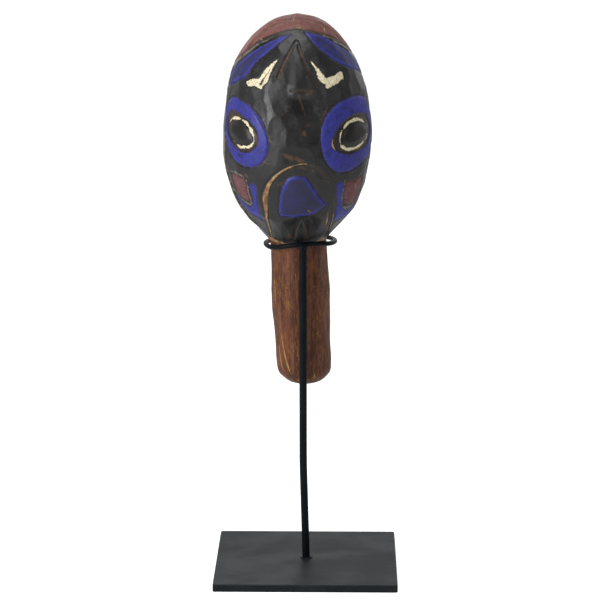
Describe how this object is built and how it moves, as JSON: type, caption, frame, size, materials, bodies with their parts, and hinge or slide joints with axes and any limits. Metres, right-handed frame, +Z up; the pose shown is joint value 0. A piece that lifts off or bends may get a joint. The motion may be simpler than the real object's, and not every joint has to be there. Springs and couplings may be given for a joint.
{
  "type": "carved wooden rattle on a display stand",
  "caption": "Carved and painted wooden hand rattle with a stylised bird-like face, hung by its neck in the wire ring of a black steel display stand.",
  "frame": {"origin": "middle of the base plate's underside, right below the foot of the rod", "axes": "+Z up, the rattle's face looks along -Y, +X is to the right as one looks at the face"},
  "size_m": [0.1142, 0.1185, 0.3479],
  "materials": {
    "blackened_steel": "satin black paint",
    "painted_wood": "black, blue, red-brown and cream paint, worn at carved edges",
    "stained_wood": "red-brown stain, hand rubbed",
    "bare_wood": "plain",
    "river_pebble": "water worn"
  },
  "bodies": {
    "stand": {"base_plate": "blackened_steel", "stand_rod": "blackened_steel", "holder_ring": "blackened_steel", "ring_weld": "blackened_steel", "foot_weld": "blackened_steel"},
    "rattle": {"handle": "stained_wood", "head_front": "painted_wood", "head_back": "painted_wood", "neck_peg": "bare_wood", "seam_pegs": "bare_wood"},
    "pebble_1_body": {"pebble_1": "river_pebble"},
    "pebble_2_body": {"pebble_2": "river_pebble"},
    "pebble_3_body": {"pebble_3": "river_pebble"},
    "pebble_4_body": {"pebble_4": "river_pebble"},
    "pebble_5_body": {"pebble_5": "river_pebble"},
    "pebble_6_body": {"pebble_6": "river_pebble"},
    "pebble_7_body": {"pebble_7": "river_pebble"}
  },
  "joints": [
    {"name": "rattle_lift", "type": "slide", "parent": "stand", "child": "rattle", "axis": [-0.043, 0, 0.9991], "range_m": [0, 0.11]},
    {"name": "pebble_1_fall", "type": "slide", "parent": "rattle", "child": "pebble_1_body", "axis": [0, 0, 1], "range_m": [0, 0.09]},
    {"name": "pebble_2_fall", "type": "slide", "parent": "rattle", "child": "pebble_2_body", "axis": [0, 0, 1], "range_m": [0, 0.09]},
    {"name": "pebble_3_fall", "type": "slide", "parent": "rattle", "child": "pebble_3_body", "axis": [0, 0, 1], "range_m": [0, 0.09]},
    {"name": "pebble_4_fall", "type": "slide", "parent": "rattle", "child": "pebble_4_body", "axis": [0, 0, 1], "range_m": [0, 0.09]},
    {"name": "pebble_5_fall", "type": "slide", "parent": "rattle", "child": "pebble_5_body", "axis": [0, 0, 1], "range_m": [0, 0.09]},
    {"name": "pebble_6_fall", "type": "slide", "parent": "rattle", "child": "pebble_6_body", "axis": [0, 0, 1], "range_m": [0, 0.09]},
    {"name": "pebble_7_fall", "type": "slide", "parent": "rattle", "child": "pebble_7_body", "axis": [0, 0, 1], "range_m": [0, 0.09]}
  ]
}
